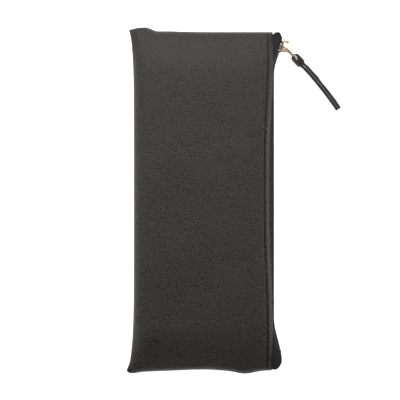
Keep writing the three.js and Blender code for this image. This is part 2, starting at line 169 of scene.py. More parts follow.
def chain_x(y):
    """The zip's middle line in plan: straight beside the lip, leaning outwards at both ends with the slider
    on the upper lean, and curled back in past the slider's nose."""
    lean = math.tan(SLIDER_TILT)
    at_pivot = RING_PIVOT[0] - (RING_PIVOT[0] - CHAIN_X) / math.cos(SLIDER_TILT)
    line = at_pivot + lean * (y - RING_PIVOT[1])
    leaning = CHAIN_MID_X + CHAIN_BEND * np.logaddexp(0, (line - CHAIN_MID_X) / CHAIN_BEND)
    curl = 3.1 * smooth((y - 92.8) / 4.2)
    low_flare = 4.3 * smooth((-y - 68) / 24)
    return leaning - curl + low_flare


def bow(y):
    """How far the sewn zip is from where the frame has it, towards the pouch."""
    return CHAIN_X - chain_x(y)


def plan_shift(x, y):
    """Ears and a wavy outline at the sewn ends, as (shift in x, shift in y)."""
    # the long seam flares outwards at both ends
    left = np.clip((-16 - x) / 23, 0, 1) ** 1.6
    top_flare = 2.7 * np.exp(-np.maximum(HALF_LENGTH - y, 0) / 11.6)
    low_flare = 3.7 * np.exp(-np.maximum(HALF_LENGTH + y, 0) / 12.5)
    low_flare = low_flare + 0.5 * bump_at(y, -96.2, 2.2)
    # upper end: an ear with a rounded tip, and a shallow swell beside it
    top_edge = 0.4 + 2.4 * (1 - smooth((x + 31.2) / 6.5)) + 0.5 * bump_at(x, -22, 13)
    top_edge = top_edge - 1.3 * smooth((-33.8 - x) / 6)
    # lower end: an ear, a wave beside it and a lobe near the zip
    low_edge = 0.4 + 1.3 * bump_at(x, -38, 9) + 0.8 * bump_at(x, -24, 14)
    low_edge = low_edge + 0.5 * smooth((x - 2) / 12) + 1.9 * bump_at(x, 25, 7.5)
    low_edge = low_edge + 0.5 * smooth((-32 - x) / 4) - 1.2 * smooth((-37.4 - x) / 2.2)
    near_top = smooth((y - 78) / (HALF_LENGTH - 78)) ** 1.5
    near_low = smooth((-y - 80) / (HALF_LENGTH - 80)) ** 1.5
    return -left * (0.4 + top_flare + low_flare), near_top * top_edge - near_low * low_edge


# ---- mesh helpers ----


def new_object(name, points, faces, material, crease=None):
    """A smooth-shaded object from points in millimetres, creased over an angle in degrees if given."""
    mesh = bpy.data.meshes.new(name)
    mesh.from_pydata((np.asarray(points) * MM).tolist(), [], faces)
    mesh.polygons.foreach_set("use_smooth", [True] * len(mesh.polygons))
    if crease is not None:
        mesh.set_sharp_from_angle(angle=math.radians(crease))
    mesh.materials.append(material)
    thing = bpy.data.objects.new(name, mesh)
    bpy.context.scene.collection.objects.link(thing)
    return thing


def vertex_normals(faces, points):
    """Area-weighted normals of a mesh of quads."""
    faces = np.asarray(faces)
    corners = points[faces]
    across = np.cross(corners[:, 2] - corners[:, 0], corners[:, 3] - corners[:, 1])
    normals = np.zeros_like(points)
    for corner in range(4):
        np.add.at(normals, faces[:, corner], across)
    return normals / np.maximum(np.linalg.norm(normals, axis=1), 1e-12)[:, None]


def face_out(faces, points):
    """The quads turned so that a closed mesh has its normals outward."""
    a, b, c, d = (np.asarray(points)[np.asarray(faces)[:, corner]] for corner in range(4))
    volume = np.sum(a * np.cross(b, c)) + np.sum(a * np.cross(c, d))
    return faces if volume > 0 else [face[::-1] for face in faces]


def loft_faces(count, size, closed=False):
    """Quads over a run of rings. An open run is closed by a strip of quads at each end."""
    faces = []
    spans = count if closed else count - 1
    for ring in range(spans):
        here = ring * size
        after = (ring + 1) % count * size
        for i in range(size):
            j = (i + 1) % size
            faces.append([here + i, here + j, after + j, after + i])
    if not closed:
        last = (count - 1) * size
        for i in range(size // 2 - 1):
            faces.append([i, size - 1 - i, size - 2 - i, i + 1])
            faces.append([last + i, last + i + 1, last + size - 2 - i, last + size - 1 - i])
    return faces


def loft_object(name, rings, material, closed=False, crease=None):
    """One object from a run of rings with the same number of points."""
    rings = np.asarray(rings, float)
    count, size = rings.shape[:2]
    points = rings.reshape(-1, 3)
    faces = face_out(loft_faces(count, size, closed), points)
    return new_object(name, points, faces, material, crease)


def tube(path, radius, sides, closed=False):
    """Rings round a path, with a frame carried along it so that the tube doesn't twist."""
    path = np.asarray(path, float)
    if closed:
        heading = np.roll(path, -1, axis=0) - np.roll(path, 1, axis=0)
    else:
        heading = np.gradient(path, axis=0)
    heading /= np.linalg.norm(heading, axis=1)[:, None]
    radius = np.broadcast_to(radius, len(path))
    start = UP if abs(heading[0][2]) < 0.9 else np.array([1.0, 0, 0])
    across = np.cross(heading[0], start)
    rings = []
    angles = np.arange(sides) * 2 * math.pi / sides
    for centre, run, size in zip(path, heading, radius):
        across = across - run * np.dot(across, run)
        across /= np.linalg.norm(across)
        other = np.cross(run, across)
        rings.append([centre + size * (math.cos(a) * across + math.sin(a) * other) for a in angles])
    return rings


def join_lofts(name, parts, material):
    """One object from several lofted runs, each (rings, closed)."""
    points, faces = [], []
    for rings, closed in parts:
        rings = np.asarray(rings, float)
        run = rings.reshape(-1, 3)
        own = face_out(loft_faces(rings.shape[0], rings.shape[1], closed), run)
        offset = len(points)
        points.extend(run.tolist())
        faces.extend([[offset + i for i in face] for face in own])
    return new_object(name, points, faces, material)


# ---- materials ----


class Finish:
    """A Principled material with a few helpers for its nodes."""

    # numbers of the Mix node's colour sockets, which share their names with the ones for other types
    MIX_LOW = 6
    MIX_HIGH = 7
    MIX_RESULT = 2

    def __init__(self, name, **values):
        self.material = bpy.data.materials.new(name)
        self.material.use_nodes = True
        self.tree = self.material.node_tree
        self.shader = self.tree.nodes["Principled BSDF"]
        for socket, value in values.items():
            self.shader.inputs[socket.replace("_", " ")].default_value = value
        self.place = self.tree.nodes.new("ShaderNodeTexCoord").outputs["Object"]

    def node(self, kind, **inputs):
        made = self.tree.nodes.new(kind)
        for socket, value in inputs.items():
            self.feed(made.inputs[socket.replace("_", " ")], value)
        return made

    def feed(self, socket, value):
        if isinstance(value, bpy.types.NodeSocket):
            self.tree.links.new(value, socket)
        else:
            socket.default_value = value

    def noise(self, scale, detail):
        made = self.node("ShaderNodeTexNoise", Scale=scale, Detail=detail, Vector=self.place)
        return made.outputs["Fac"]

    def cells(self, scale, feature, place):
        made = self.node("ShaderNodeTexVoronoi", Scale=scale, Vector=place)
        made.feature = feature
        return made.outputs["Distance"]

    def between(self, value, low, high, to_low=0.0, to_high=1.0):
        """The value carried softly from one range to another."""
        made = self.node("ShaderNodeMapRange")
        made.interpolation_type = "SMOOTHSTEP"
        self.feed(made.inputs["Value"], value)
        self.feed(made.inputs["From Min"], low)
        self.feed(made.inputs["From Max"], high)
        self.feed(made.inputs["To Min"], to_low)
        self.feed(made.inputs["To Max"], to_high)
        return made.outputs["Result"]

    def sum(self, a, b, operation="ADD"):
        """Both values through a Math node, added unless another operation is named."""
        made = self.node("ShaderNodeMath")
        made.operation = operation
        self.feed(made.inputs[0], a)
        self.feed(made.inputs[1], b)
        return made.outputs[0]

    def blend(self, share, low, high):
        made = self.node("ShaderNodeMix")
        made.data_type = "RGBA"
        self.feed(made.inputs["Factor"], share)
        self.feed(made.inputs[self.MIX_LOW], low)
        self.feed(made.inputs[self.MIX_HIGH], high)
        return made.outputs[self.MIX_RESULT]

    def raised(self, height, distance, strength):
        made = self.node("ShaderNodeBump", Strength=strength, Distance=distance, Height=height)
        return made.outputs["Normal"]

    def set(self, **links):
        """Feeds the shader's sockets, and gives the finished material."""
        for socket, value in links.items():
            self.feed(self.shader.inputs[socket.replace("_", " ")], value)
        return self.material


def leather_finish(name, dark, light, grain, roughness):
    """Fine pebble grain: rounded cells with creases between, on a slow unevenness, with painted highlight
    on the pebble tops and painted shade in the creases.
    """
    finish = Finish(name, Specular_IOR_Level=0.42, Specular_Tint=(1.0, 0.92, 0.92, 1.0))
    # a slow drift draws the cells out of line
    warp = finish.node("ShaderNodeVectorMath")
    warp.operation = "MULTIPLY_ADD"
    drift = finish.node("ShaderNodeTexNoise", Scale=260.0, Detail=1.0, Vector=finish.place)
    finish.feed(warp.inputs[0], drift.outputs["Color"])
    warp.inputs[1].default_value = (0.0012, 0.0012, 0.0012)
    finish.feed(warp.inputs[2], finish.place)
    pebbles = finish.cells(1 / (grain * MM), "SMOOTH_F1", warp.outputs[0])
    fine = finish.cells(1 / (0.42 * grain * MM), "F1", warp.outputs[0])
    # 1 on the pebble tops and 0 in the creases between: the bump's height, and the key for the painted
    # highlight and shade below
    crease = finish.between(pebbles, 0.25, 0.72, 1.0, 0.0)
    slow = finish.noise(45.0, 3.0)
    height = finish.sum(crease, finish.sum(fine, 0.35, "MULTIPLY"), "SUBTRACT")
    # painted highlight and shade: the pebble tops are coloured towards light and the creases towards dark
    colour = finish.blend(finish.between(crease, 0.1, 0.8), dark, light)
    # random slow patches lean towards the light tone, as wear, on top of the painted grain highlight and
    # shade
    worn_and_painted_grain_shade = finish.blend(finish.between(slow, 0.35, 0.7, 0.0, 0.2), colour, light)
    gloss = finish.sum(finish.sum(slow, 0.12, "MULTIPLY"), roughness - 0.06)
    return finish.set(
        Base_Color=worn_and_painted_grain_shade,
        Roughness=gloss,
        Normal=finish.raised(height, 0.00019, 0.9),
    )


def weave_finish(name, dark, light, pitch, roughness):
    """Plain weave: two sets of threads across each other, with loose fibres."""
    finish = Finish(name, Specular_IOR_Level=0.22)
    split = finish.node("ShaderNodeSeparateXYZ", Vector=finish.place)
    turns = 2 * math.pi / (pitch * MM)
    slant = finish.sum(split.outputs[0], split.outputs[2])
    warp_thread = finish.sum(finish.sum(slant, turns, "MULTIPLY"), 0.0, "SINE")
    weft_thread = finish.sum(finish.sum(split.outputs[1], turns, "MULTIPLY"), 0.0, "SINE")
    checks = finish.sum(warp_thread, weft_thread, "MULTIPLY")
    fibres = finish.noise(5200.0, 2.0)
    height = finish.sum(checks, fibres)
    # partly painted: the raised thread crossings are coloured lighter as painted highlight and the hollows
    # between them darker as painted shade, and the fibres add random tone
    colour = finish.blend(finish.between(height, -0.4, 1.4), dark, light)
    return finish.set(
        Base_Color=colour,
        Roughness=finish.between(fibres, 0.0, 1.0, roughness - 0.08, roughness + 0.08),
        Normal=finish.raised(height, 0.00006, 0.7),
    )


def metal_finish(name, colour, dull, roughness):
    """Polished plated metal with faint brushing and handling marks."""
    finish = Finish(name, Metallic=1.0)
    marks = finish.noise(1800.0, 4.0)
    cloud = finish.noise(240.0, 2.0)
    return finish.set(
        Base_Color=finish.blend(finish.between(cloud, 0.35, 0.75), colour, dull),
        Roughness=finish.between(marks, 0.3, 0.8, roughness * 0.7, roughness * 1.5),
        Normal=finish.raised(marks, 0.000012, 0.35),
    )


def nylon_finish(name, dark, light, roughness):
    """Drawn nylon wire with faint streaks."""
    finish = Finish(name, Specular_IOR_Level=0.15)
    streaks = finish.noise(3000.0, 2.0)
    return finish.set(
        Base_Color=finish.blend(streaks, dark, light),
        Roughness=finish.between(streaks, 0.2, 0.8, roughness - 0.07, roughness + 0.07),
        Normal=finish.raised(streaks, 0.00001, 0.3),
    )


def thread_finish(name, dark, light):
    """Plied thread: slanting strands along the stitch."""
    finish = Finish(name, Specular_IOR_Level=0.2)
    split = finish.node("ShaderNodeSeparateXYZ", Vector=finish.place)
    slant = finish.sum(split.outputs[1], finish.sum(split.outputs[0], split.outputs[2]))
    turns = 2 * math.pi / (0.35 * MM)
    strands = finish.sum(finish.sum(slant, turns, "MULTIPLY"), 0.0, "SINE")
    fibres = finish.noise(6000.0, 2.0)
    height = finish.sum(strands, fibres)
    return finish.set(
        # partly painted: the strands' crowns are coloured lighter as painted highlight and the grooves
        # between them darker as painted shade, and the fibres add random tone
        Base_Color=finish.blend(finish.between(height, -0.6, 1.6), dark, light),
        Roughness=finish.between(fibres, 0.0, 1.0, 0.55, 0.75),
        Normal=finish.raised(height, 0.00004, 0.8),
    )


def grey(value, warm=0.0):
    """A grey in linear light, a little redder than neutral if it is warm."""
    return (value * (1 + warm), value, value * (1 - warm), 1.0)


WARMTH = 0.07
# in both leathers below, dark is the painted shade in the grain's creases and light is the painted
# highlight on the pebble tops
leather = leather_finish(
    "black_leather", grey(0.0045, WARMTH), grey(0.0195, WARMTH), grain=0.75, roughness=0.48
)
strap_leather = leather_finish("strap_leather", grey(0.006), grey(0.014), grain=0.5, roughness=0.44)
lining_cloth = weave_finish("lining_fabric", grey(0.014), grey(0.034), pitch=0.5, roughness=0.85)
tape_cloth = weave_finish("zip_tape", grey(0.009), grey(0.024), pitch=0.55, roughness=0.75)
coil_nylon = nylon_finish("zip_coil", grey(0.007), grey(0.014), roughness=0.5)
gold = metal_finish(
    "gold_metal", colour=(0.84, 0.66, 0.52, 1.0), dull=(0.80, 0.60, 0.47, 1.0), roughness=0.27
)
enamel = metal_finish(
    "black_metal", colour=(0.03, 0.028, 0.028, 1.0), dull=(0.05, 0.048, 0.048, 1.0), roughness=0.35
)
steel = metal_finish(
    "spring_steel", colour=(0.62, 0.62, 0.63, 1.0), dull=(0.5, 0.5, 0.52, 1.0), roughness=0.25
)
black_thread = thread_finish("thread", grey(0.004), grey(0.012))


# ---- camera and light ----

CAMERA_PLACE = (-1.0, 0.43, 649.5)      # straight above the pouch, looking down
SENSOR = 36
LENS = 100
FLOOR_HALF = 1.6                        # metres
FLOOR_DROP = 0.0003                     # metres below the part, so that they never share a plane
FLOOR_GLOW = 0.85                       # makes the paper white whatever the lights do
HORIZON = 0.95                          # strength of the room's light at eye level
OVERHEAD = 0.10                         # and its strength overhead


def add_camera():
    data = bpy.data.cameras.new("camera")
    data.sensor_width = SENSOR
    data.lens = LENS
    camera = bpy.data.objects.new("camera", data)
    bpy.context.scene.collection.objects.link(camera)
    camera.location = Vector(CAMERA_PLACE) * MM
    bpy.context.scene.camera = camera


def add_light(name, place, target, size, power):
    """A soft box at a place in metres, turned towards its target."""
    data = bpy.data.lights.new(name, "AREA")
    data.shape = "RECTANGLE"
    data.size, data.size_y = size
    data.energy = power
    light = bpy.data.objects.new(name, data)
    bpy.context.scene.collection.objects.link(light)
    light.location = place
    light.rotation_euler = (Vector(target) - Vector(place)).to_track_quat("-Z", "Y").to_euler()


def studio_world():
    """A white room: bright all round at eye level and darker overhead, as between soft boxes."""
    world = bpy.data.worlds.new("world")
    world.use_nodes = True
    tree = world.node_tree
    place = tree.nodes.new("ShaderNodeTexCoord")
    split = tree.nodes.new("ShaderNodeSeparateXYZ")
    fall = tree.nodes.new("ShaderNodeMapRange")
    fall.interpolation_type = "SMOOTHSTEP"
    fall.inputs["From Min"].default_value = 0.0
    fall.inputs["From Max"].default_value = 0.45
    fall.inputs["To Min"].default_value = HORIZON
    fall.inputs["To Max"].default_value = OVERHEAD
    tree.links.new(place.outputs["Generated"], split.inputs[0])
    tree.links.new(split.outputs["Z"], fall.inputs["Value"])
    tree.links.new(fall.outputs["Result"], tree.nodes["Background"].inputs["Strength"])
    tree.nodes["Background"].inputs["Color"].default_value = (1, 1, 1, 1)
    return world


def add_stage():
    """The pale paper the pouch lies on, and the room round it."""
    half = FLOOR_HALF
    mesh = bpy.data.meshes.new("floor")
    corners = [(-half, -half, 0), (half, -half, 0), (half, half, 0), (-half, half, 0)]
    mesh.from_pydata(corners, [], [[0, 1, 2, 3]])
    finish = Finish("floor_paper", Specular_IOR_Level=0.2)
    fleck = finish.noise(900.0, 2.0)
    finish.shader.inputs["Emission Color"].default_value = (1, 1, 1, 1)
    finish.shader.inputs["Emission Strength"].default_value = FLOOR_GLOW
    finish.set(
        Base_Color=finish.blend(fleck, (0.93, 0.93, 0.93, 1), (0.96, 0.96, 0.96, 1)),
        Roughness=finish.between(fleck, 0, 1, 0.85, 0.95),
    )
    mesh.materials.append(finish.material)
    floor = bpy.data.objects.new("floor", mesh)
    bpy.context.scene.collection.objects.link(floor)
    floor.location.z = -FLOOR_DROP
    bpy.context.scene.world = studio_world()
    bpy.context.scene.view_settings.view_transform = "Standard"


add_camera()
add_stage()
add_light("key", place=(-0.08, 0.33, 0.42), target=(0, 0.05, 0), size=(0.5, 0.3), power=2.4)
add_light("left", place=(-0.55, 0.05, 0.68), target=(-0.04, 0, 0), size=(0.25, 0.8), power=1.7)
add_light("right", place=(0.8, 0.05, 0.36), target=(0, 0, 0), size=(0.4, 0.8), power=4.5)

# ---- leather panels ----


def slow_waves(x, y, seed):
    """Gentle unevenness of stuffed soft leather: six crossing waves, the longer the higher."""
    total = 0
    for k in range(6):
        angle = seed * 1.7 + k * 2.4
        length = 14 + 7 * k
        phase = seed * 3.1 + k * 1.9
        total = total + (0.05 + 0.02 * k) * np.sin(
            2 * math.pi * (x * math.cos(angle) + y * math.sin(angle)) / length + phase
        )
    return total


def panel_details(x, y, rise, side):
    """Height added to the smooth form: stitch groove, puckers, ear folds and slow waves."""
    from_lip = lip_x(y) - x
    phase = 2 * math.pi * y / STITCH_PITCH
    seam_end = smooth((HALF_LENGTH - np.abs(y)) / 3)
    # the stitches pull a groove, which widens towards the lower end
    groove = -0.75 * bump_at(from_lip, STITCH_INSET, 0.45) * (0.8 - 0.2 * np.cos(phase))
    groove = groove - 0.45 * bump_at(from_lip, 2.4, 1.1) * smooth((-y - 45) / 40)
    puckers = 0.10 * np.cos(phase) * bump_at(from_lip, 1.9, 0.8)
    # a rounded rim beside the groove, bevelled down to the lip
    rim = 0.16 * bump_at(from_lip, 1.7, 0.7) - 0.6 * np.maximum(1.5 - from_lip, 0)
    fall_in = -0.05 * np.cos(phase) * bump_at(from_lip, 4.4, 1.0)
    details = (groove + puckers + rim + fall_in) * seam_end
    full = np.clip(outer_height(x, y, rise) / rise, 0, 1)
    middle = smooth((x - SEAM_X) / 9) * smooth((from_lip - 4) / 6)
    details = details + slow_waves(x, y, side) * 0.55 * middle * full
    # folds that run in from the sewn corners
    ear_top = bump_at(x + 0.5 * (HALF_LENGTH - y), -30.5, 2.6) * np.exp(-(HALF_LENGTH - y) / 9)
    ear_low = bump_at(x + 0.6 * (HALF_LENGTH + y), -36.0, 1.6) * np.exp(-(HALF_LENGTH + y) / 5)
    details = details - 0.7 * ear_top - 0.9 * ear_low
    creases = bump_at(x - 0.7 * (HALF_LENGTH + y), 19, 1.6) + bump_at(x + 0.6 * (HALF_LENGTH + y), 29, 1.7)
    return details - 0.35 * creases * np.exp(-(HALF_LENGTH + y) / 5)


def end_roll(y):
    """1 over the pouch, falling in a quarter round to 0 at the sewn ends."""
    into = np.clip((END_ROLL - (HALF_LENGTH - np.abs(y))) / END_ROLL, 0, 1)
    return np.sqrt(np.maximum(1 - into * into, 0))


def panel_stations():
    """Places along y of a panel's sections, closer together over the turned ends."""
    middle = np.arange(0, HALF_LENGTH - 3.2, 0.62)
    edge = HALF_LENGTH - END_ROLL * (1 - np.sin(np.linspace(-0.05, math.pi / 2, 9)))
    half = np.concatenate([middle, edge])
    return np.concatenate([-half[:0:-1], half])


def panel_rings(rise, side):
    """The closed outline of a panel at each station: outer face, turned lip, inner face, long seam."""
    rings = []
    roll_angles = np.linspace(0.0, math.pi / 2, 15)
    lip_angles = np.linspace(math.pi / 2, -math.pi / 2, 10)[1:-1]
    lip_radius = LEATHER / 2
    stitched = 5.6      # width beside the lip that needs closer points
    for y in panel_stations():
        end = end_roll(y)
        lip = lip_x(y) - lip_radius
        x_roll = SEAM_X + EDGE_ROLL * (1 - np.cos(roll_angles))
        x_flat = np.linspace(SEAM_X + EDGE_ROLL, lip - stitched, 50)[1:]
        x_seam = np.linspace(lip - stitched, lip, 24)[1:]
        x = np.concatenate([x_roll, x_flat, x_seam])
        smooth_height = outer_height(x, y, rise)
        height = (smooth_height + panel_details(x, y, rise, side)) * end
        height = np.maximum(height, SEAM_GAP)
        # the sewn edge itself is drawn in a little
        tuck = 0.7 * fullness(y) * bump_at(x - SEAM_X, 0, 0.12)
        outer = np.column_stack([x + tuck, height])
        thick = np.minimum(LEATHER, np.maximum(outer[:, 1] - SEAM_GAP * 0.7, 0.02))
        inner_x = np.where(x < SEAM_X + EDGE_ROLL, x + tuck + LEATHER * (1 - (x - SEAM_X) / EDGE_ROLL), x)
        inner = np.column_stack([inner_x, np.maximum(outer[:, 1] - thick, SEAM_GAP * 0.6)])
        centre = (outer[-1, 1] + inner[-1, 1]) / 2
        half_thick = (outer[-1, 1] - inner[-1, 1]) / 2
        turned = np.column_stack([
            lip + lip_radius * np.cos(lip_angles),
            centre + half_thick * np.sin(lip_angles),
        ])
        line = np.concatenate([outer, turned, inner[::-1]])
        shift_x, shift_y = plan_shift(line[:, 0], np.full(len(line), y))
        rings.append(np.column_stack([
            line[:, 0] + shift_x,
            y + shift_y,
            SEAM_Z + side * line[:, 1],
        ]))
    return np.array(rings)


def cut_in_two(name, rings, material):
    """The lower and upper half of a run of rings. Their shading runs on across the cut, as on one piece."""
    middle = int(np.argmin(np.abs(rings[:, :, 1].mean(axis=1))))
    count, size = rings.shape[:2]
    whole = rings.reshape(-1, 3)
    normals = vertex_normals(face_out(loft_faces(count, size), whole), whole).reshape(rings.shape)
    made = []
    for suffix, first, last in (("lower", 0, middle), ("upper", middle, count - 1)):
        piece = loft_object(f"{name}_{suffix}", rings[first:last + 1], material)
        own = normals[first:last + 1].reshape(-1, 3)
        mesh = piece.data
        sides = (last - first) * size       # the faces after these close the two ends
        corner_normals = []
        for polygon in mesh.polygons:
            capped = polygon.index >= sides
            for corner in polygon.vertices:
                corner_normals.append(polygon.normal if capped else own[corner])
        mesh.normals_split_custom_set(corner_normals)
        made.append(piece)
    return made


# two points in metres, one low on the pouch and one near its upper end
BLEND_LOW = (0, -0.083, 0)
BLEND_HIGH = (0, (HALF_LENGTH - 1) * MM, 0)


def sewn_halves(name, rings, material, node):
    """The front's soft pieces, cut in two at mid-length, each standing in place of its CAD node, which is
    hidden.
    """
    made = cut_in_two(name, rings, material)
    for piece, start in zip(made, (BLEND_LOW, BLEND_HIGH)):
        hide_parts(node)
        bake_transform(piece)
    return made


def back_piece(name, rings, material, node):
    """A soft piece of the back, in one length."""
    piece = loft_object(name, rings, material)
    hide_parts(node)
    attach(piece, "back")
    return piece


front_rings = panel_rings(FRONT_RISE, 1)
back_rings = panel_rings(BACK_RISE, -1)
front_leather = sewn_halves("front_leather", front_rings, leather, "front_panel")
back_leather = back_piece("back_leather", back_rings, leather, "back_panel")

# ---- lining ----


def section_rings(stations, line_at, thickness, side):
    """A closed sheet along y about a section line of (x, height), thickened square to the line, with its
    ends following the panel's outline."""
    rings = []
    for y in stations:
        line = np.asarray(line_at(y), float)
        run = np.gradient(line, axis=0)
        run /= np.linalg.norm(run, axis=1)[:, None]
        square = np.column_stack([-run[:, 1], run[:, 0]])
        ring = np.concatenate([line + square * thickness / 2, (line - square * thickness / 2)[::-1]])
        shift_x, shift_y = plan_shift(ring[:, 0], np.full(len(ring), y))
        shift_y = shift_y + tape_end(ring[:, 0], y)
        rings.append(np.column_stack([ring[:, 0] + shift_x, y + shift_y, SEAM_Z + side * ring[:, 1]]))
    return np.array(rings)


def tape_end(x, y):
    """Round outer corners on the trimmed tape ends, as a shift in y."""
    beyond = (x - lip_x(y)) / 3.0
    top = 0.5 - 1.5 * smooth(1 - beyond / 0.35) - 8 * np.clip(beyond - 1.1, 0, 1) ** 2
    low = 0.3 - 2.8 * np.clip(beyond - 0.6, 0, 1.2) ** 2
    shift = smooth((y - 88) / 8.5) * top - smooth((-y - 88) / 8.5) * low
    return np.where(beyond > 0, shift, 0)


def even_stations(limit, step):
    """Evenly spaced places along y, the same on both sides of the middle."""
    half = np.linspace(0, limit, int(round(limit / step)) + 1)
    return np.concatenate([-half[:0:-1], half])


def lining_line(rise):
    """The lining's section: inside the rounded edge, under the leather and then under the tape."""
    depth = LEATHER + GAP + LINING / 2
    angles = np.linspace(math.radians(34), math.pi / 2, 8)

    def line_at(y):
        x_roll = SEAM_X + EDGE_ROLL * (1 - np.cos(angles))
        roll_height = outer_height(x_roll, y, rise)
        reach = lip_x(y) - 3.4
        x_flat = np.linspace(SEAM_X + EDGE_ROLL, reach, 40)[1:]
        drop = (TAPE + GAP) * smooth((x_flat - (lip_x(y) - TAPE_TUCK - 4)) / 2)
        flat_height = outer_height(x_flat, y, rise) - drop
        flat_height = flat_height + slow_waves(x_flat, y, 5) * 0.35 * smooth((reach - 9 - x_flat) / 6)
        x_in = x_roll + depth * np.cos(angles) * 0.9
        in_height = roll_height - depth * np.sin(angles)
        heights = np.concatenate([in_height, flat_height - depth])
        return np.column_stack([np.concatenate([x_in, x_flat]), np.maximum(heights, 0.35)])
    return line_at


lining_stations = even_stations(lining_hi[1], 1.5)
front_lining_rings = section_rings(lining_stations, lining_line(FRONT_RISE), LINING, 1)
back_lining_rings = section_rings(lining_stations, lining_line(BACK_RISE), LINING, -1)
front_cloth = sewn_halves(
    "front_lining_cloth", front_lining_rings, lining_cloth, "front_lining"
)
back_cloth = back_piece(
    "back_lining_cloth", back_lining_rings, lining_cloth, "back_lining"
)

# ---- zip tapes and coils ----


def tape_line(rise):
    """A tape's section: from under the leather out past the lip, over the coil and down beside the seam."""
    depth = LEATHER + GAP + TAPE / 2
    leaf = (coil_hi[2] - SEAM_Z) + 1.15     # height of the tape over the coil
    slider_room = 0.9                       # from the tape's turn to the slider

    def line_at(y):
        """The section at one place along the chain, with its turns rounded."""
        lip = lip_x(y)
        turn_x = (slider_lo[0] - slider_room) - bow(y)
        # the web reaches further out beyond the coil's lower end and over the slider's nose
        past_coil = smooth((COIL_LOW + 3 - y) / 4)
        over_nose = smooth((y - 90) / 3)
        web_x = (tape_hi[0] - TAPE / 2) - bow(y) + 0.12 + 1.1 * past_coil + 1.4 * over_nose
        under = [lip - TAPE_TUCK, lip - TAPE_TUCK / 2, lip - 0.4]
        heights = [outer_height(np.array(x), np.array(y), rise) - depth for x in under]
        if rise == FRONT_RISE:
            turn_height = (heights[2] + leaf) / 2
        else:
            turn_height = min(heights[2], leaf)
        knots = [
            (under[0], heights[0]),
            (under[1], heights[1]),
            (under[2], heights[2]),
            (max(turn_x, lip - 0.1), turn_height),
            (max(web_x - 0.5, lip + 0.15), leaf),
            (web_x, leaf - 0.6),
            (web_x, 2.2),
            (web_x, 0.8),
        ]
        return round_corners(knots)
    return line_at


def round_corners(knots, steps=3):
    """A smooth line through the middle of each span, bending at the knots."""
    knots = [np.array(k, float) for k in knots]
    line = [knots[0]]
    for before, knot, after in zip(knots, knots[1:], knots[2:]):
        a, b = (before + knot) / 2, (knot + after) / 2
        for k in range(steps + 1):
            t = k / steps
            point = (1 - t) ** 2 * a + 2 * t * (1 - t) * knot + t * t * b
            if np.linalg.norm(point - line[-1]) > 1e-3:
                line.append(point)
    line.append(knots[-1])
    return np.array(line)


tape_stations = even_stations(tape_hi[1], 1.0)
front_tape_rings = section_rings(tape_stations, tape_line(FRONT_RISE), TAPE, 1)
back_tape_rings = section_rings(tape_stations, tape_line(BACK_RISE), TAPE, -1)
sewn_halves("front_tape_cloth", front_tape_rings, tape_cloth, "front_zip_tape")
back_piece("back_tape_cloth", back_tape_rings, tape_cloth, "back_zip_tape")


def coil_parting(y):
    """How far each row of teeth is pushed off the seam plane: by 1 mm in the slider and above it."""
    return np.clip((y - SLIDER_TAIL - 1.2) / 3, 0, 1)


def coil_path(side, low, high):
    """A flattened helix along the zip, with its loops meeting across the seam plane."""
    steps = 12
    t = np.arange(int((high - low) / COIL_PITCH * steps) + 1) / steps
    angle = 2 * math.pi * t
    y = low + t * COIL_PITCH + (0 if side > 0 else COIL_PITCH / 2)
    half_reach = (COIL_WIDTH + COIL_REACH) / 2 - COIL_WIRE
    height = (COIL_WIDTH - COIL_REACH) / 2 - half_reach * np.cos(angle) + coil_parting(y)
    x = chain_x(y) + (CHAIN_HALF - COIL_WIRE) * np.sin(angle)
    keep = y < high
    return np.column_stack([x, y + COIL_SLANT * np.sin(angle), SEAM_Z + side * height])[keep]


def coil_cord(side, low, high):
    """The filler cord that runs inside a coil."""
    y = np.arange(low, high, 1.0)
    height = (COIL_WIDTH - COIL_REACH) / 2 + 0.1 + coil_parting(y)
    return np.column_stack([chain_x(y) - 0.05, y, SEAM_Z + side * height])


def coil_object(name, side, low, high):
    """A run of teeth on its cord."""
    wire = tube(coil_path(side, low, high), COIL_WIRE, 6)
    cord = tube(coil_cord(side, low + 0.3, high - 0.3), COIL_CORD, 8)
    return join_lofts(name, [(wire, False), (cord, False)], coil_nylon)


for suffix, low, high, start in (
    ("lower", COIL_LOW, COIL_CUT, BLEND_LOW),
    ("upper", COIL_CUT, COIL_END, BLEND_HIGH),
):
    front_teeth = coil_object(f"front_teeth_{suffix}", 1, low, high)
    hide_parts("front_coil")
    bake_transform(front_teeth)
back_teeth = coil_object("back_teeth", -1, COIL_LOW, COIL_END)
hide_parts("back_coil")
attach(back_teeth, "back")

# ---- topstitching ----


def stitch_runs(side, rise, low, high):
    """One short bowed length of thread for each stitch between two stations."""
    runs = []
    radius = 0.2
    sunk = 0.52         # how far a stitch lies in its groove
    hole_depth = 0.42   # how much lower its two ends are
    hole_room = 0.28    # from each end to the middle of the hole it shares
    k = math.ceil((low - STITCH_PITCH / 2) / STITCH_PITCH)
    while (k + 0.5) * STITCH_PITCH <= high:
        middle = k * STITCH_PITCH
        k += 1
        if middle < low or abs(middle) > HALF_LENGTH - 3:
            continue
        share = np.linspace(-1, 1, 9)
        y = middle + share * (STITCH_PITCH / 2 - hole_room)
        x = lip_x(y) - STITCH_INSET
        height = outer_height(x, y, rise) - sunk - hole_depth * np.abs(share) ** 4
        size = radius * np.sqrt(np.maximum(1 - np.abs(share) ** 8 * 0.6, 0.05))
        path = np.column_stack([x, y, SEAM_Z + side * height])
        runs.append((tube(path, size, 8), False))
    return runs


